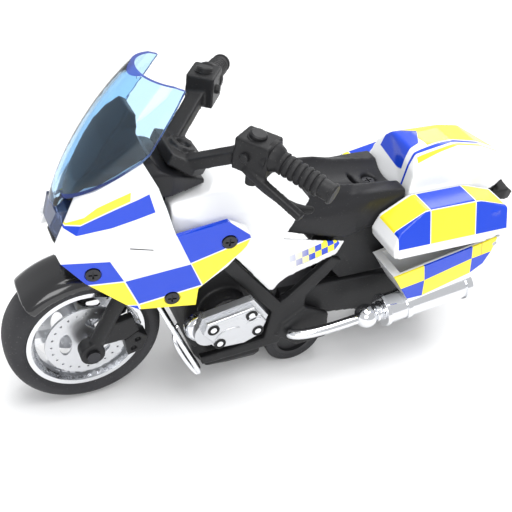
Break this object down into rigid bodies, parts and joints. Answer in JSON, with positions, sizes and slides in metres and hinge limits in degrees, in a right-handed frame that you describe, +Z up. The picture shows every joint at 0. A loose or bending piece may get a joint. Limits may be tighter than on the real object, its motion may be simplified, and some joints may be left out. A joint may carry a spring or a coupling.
{
  "type": "toy motorcycle",
  "caption": "Faired touring motorcycle toy with a pull-back motor, steering front end, free-rolling wheels and side boxes with lids that open.",
  "frame": {"origin": "on the ground, under the centre of the bounding box", "axes": "+X forward along the length, +Y to the rider's left, +Z up"},
  "size_m": [0.166, 0.0772, 0.1044],
  "materials": {
    "white_plastic": "moulded gloss white",
    "black_plastic": "moulded satin black",
    "gloss_black": "moulded gloss black",
    "seat_black": "moulded satin black",
    "grip_black": "ribbed satin black",
    "tyre_rubber": "smooth rubber",
    "chrome": "vacuum plated",
    "disc_silver": "painted silver",
    "screen_blue": "clear tinted plastic",
    "lens_blue": "clear tinted plastic",
    "dark_steel": "blackened",
    "steel": "plain",
    "motor_plastic": "moulded",
    "gear_nylon": "natural",
    "hub_black": "moulded satin black"
  },
  "bodies": {
    "bike": {"backbone": "black_plastic", "belly_pan": "black_plastic", "chassis_side_left": "black_plastic", "chassis_side_right": "black_plastic", "crash_bar_left": "chrome", "crash_bar_right": "chrome", "engine_block": "black_plastic", "exhaust_pipe": "chrome", "fairing_left": "white_plastic", "fairing_right": "white_plastic", "fairing_screws": "dark_steel", "head_bolts": "chrome", "head_cover_left": "chrome", "head_cover_right": "chrome", "headlight_lens": "lens_blue", "headlight_reflector": "chrome", "instrument_pod": "black_plastic", "mainspring": "steel", "motor_case": "motor_plastic", "motor_cover": "motor_plastic", "nose_beak": "gloss_black", "pannier_box_left": "white_plastic", "pannier_box_right": "white_plastic", "pannier_hinge_pins": "steel", "plate_bracket": "black_plastic", "rear_axle": "steel", "rear_subframe": "black_plastic", "seat": "seat_black", "seat_screw": "dark_steel", "silencer": "chrome", "silencer_bands": "chrome", "spring_arbor": "steel", "swingarm": "black_plastic", "tail_case": "white_plastic", "tank_cover": "white_plastic", "windscreen": "screen_blue"},
    "steering": {"fork_leg_left": "black_plastic", "fork_leg_right": "black_plastic", "fork_tubes": "chrome", "fork_yoke": "black_plastic", "front_axle": "steel", "axle_caps": "dark_steel", "brake_caliper_left": "black_plastic", "brake_caliper_right": "black_plastic", "front_mudguard": "gloss_black", "handlebar": "black_plastic", "grip_left": "grip_black", "grip_right": "grip_black"},
    "front_wheel": {"front_tyre": "tyre_rubber", "front_rim": "chrome", "front_brake_discs": "disc_silver"},
    "rear_wheel": {"rear_tyre": "tyre_rubber", "rear_rim": "chrome"},
    "drive_wheels": {"drive_axle": "steel", "drive_hubs": "hub_black", "drive_tyres": "tyre_rubber"},
    "idler": {"idler_gear": "gear_nylon"},
    "spring_barrel": {"spring_drum": "gear_nylon"},
    "lid_left": {"pannier_lid_left": "white_plastic"},
    "lid_right": {"pannier_lid_right": "white_plastic"}
  },
  "joints": [
    {"name": "steering", "type": "hinge", "parent": "bike", "child": "steering", "pos_m": [0.06, 0, 0.023], "axis": [-0.4407, 0, 0.8976], "range_deg": [-15, 15]},
    {"name": "front_wheel_spin", "type": "hinge", "parent": "steering", "child": "front_wheel", "pos_m": [0.06, 0, 0.023], "axis": [0, 1, 0], "continuous": true},
    {"name": "rear_wheel_spin", "type": "hinge", "parent": "bike", "child": "rear_wheel", "pos_m": [-0.05, 0, 0.023], "axis": [0, 1, 0], "continuous": true},
    {"name": "drive_wheel_spin", "type": "hinge", "parent": "bike", "child": "drive_wheels", "pos_m": [-0.006, 0, 0.01], "axis": [0, 1, 0], "continuous": true},
    {"name": "idler_spin", "type": "hinge", "parent": "bike", "child": "idler", "pos_m": [-0.00759, 0, 0.01799], "axis": [0, 1, 0], "continuous": true},
    {"name": "spring_barrel_spin", "type": "hinge", "parent": "bike", "child": "spring_barrel", "pos_m": [0.0044, 0, 0.016], "axis": [0, 1, 0], "continuous": true},
    {"name": "lid_left_hinge", "type": "hinge", "parent": "bike", "child": "lid_left", "pos_m": [-0.064, 0.019, 0.0455], "axis": [0, -1, 0], "range_deg": [-11.8, 48]},
    {"name": "lid_right_hinge", "type": "hinge", "parent": "bike", "child": "lid_right", "pos_m": [-0.064, -0.019, 0.0455], "axis": [0, -1, 0], "range_deg": [0, 60]}
  ],
  "couplings": [
    {"joint": "idler_spin", "follows": "drive_wheel_spin", "ratio": -0.66667},
    {"joint": "spring_barrel_spin", "follows": "drive_wheel_spin", "ratio": 0.44444}
  ]
}
